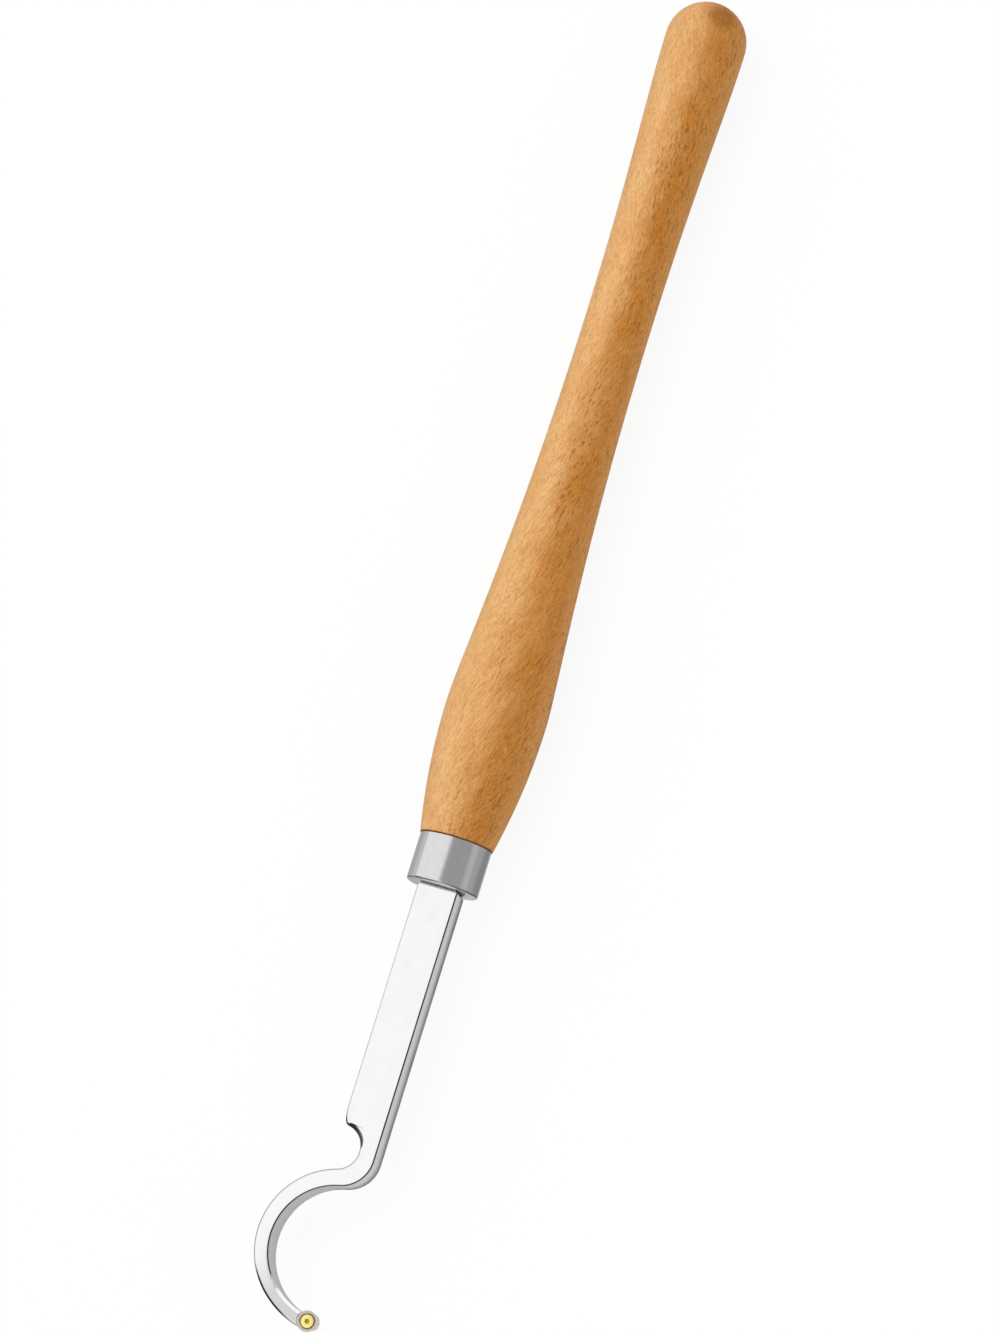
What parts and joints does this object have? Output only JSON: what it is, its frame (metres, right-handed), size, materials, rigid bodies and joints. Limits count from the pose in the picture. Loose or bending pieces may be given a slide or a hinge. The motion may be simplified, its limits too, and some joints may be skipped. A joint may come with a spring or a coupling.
{
  "type": "hollowing tool",
  "caption": "Wood-turning hollowing tool: turned wooden handle, metal ferrule, square bar with a swan-neck hook, and a round cutter screwed to its tip.",
  "frame": {"origin": "middle of the bar's flat underside, where the tool slides on a lathe's tool rest", "axes": "+X along the tool towards the cutter, +Z out of the face that the cutter's top looks at, the hook bulges towards -Y"},
  "size_m": [0.5496, 0.047, 0.04],
  "materials": {
    "beech_wood": "smooth turned beech with a thin satin oil finish",
    "ferrule_metal": "satin polished, with fine turning lines",
    "bar_steel": "bright polished stainless steel",
    "carbide": "ground grey carbide",
    "gold_screw": "gold-coloured, semi-bright"
  },
  "bodies": {
    "tool": {"handle": "beech_wood", "ferrule": "ferrule_metal", "tool_bar": "bar_steel"},
    "cutter": {"carbide_cutter": "carbide"},
    "clamp_screw": {"cutter_screw": "gold_screw"}
  },
  "joints": [
    {"name": "cutter_index", "type": "hinge", "parent": "tool", "child": "cutter", "pos_m": [0.1247, 0, 0.00794], "axis": [0, 0, 1], "continuous": true},
    {"name": "screw_turn", "type": "hinge", "parent": "tool", "child": "clamp_screw", "pos_m": [0.1247, 0, 0.00794], "axis": [0, 0, 1], "range_deg": [0, 1800]}
  ]
}
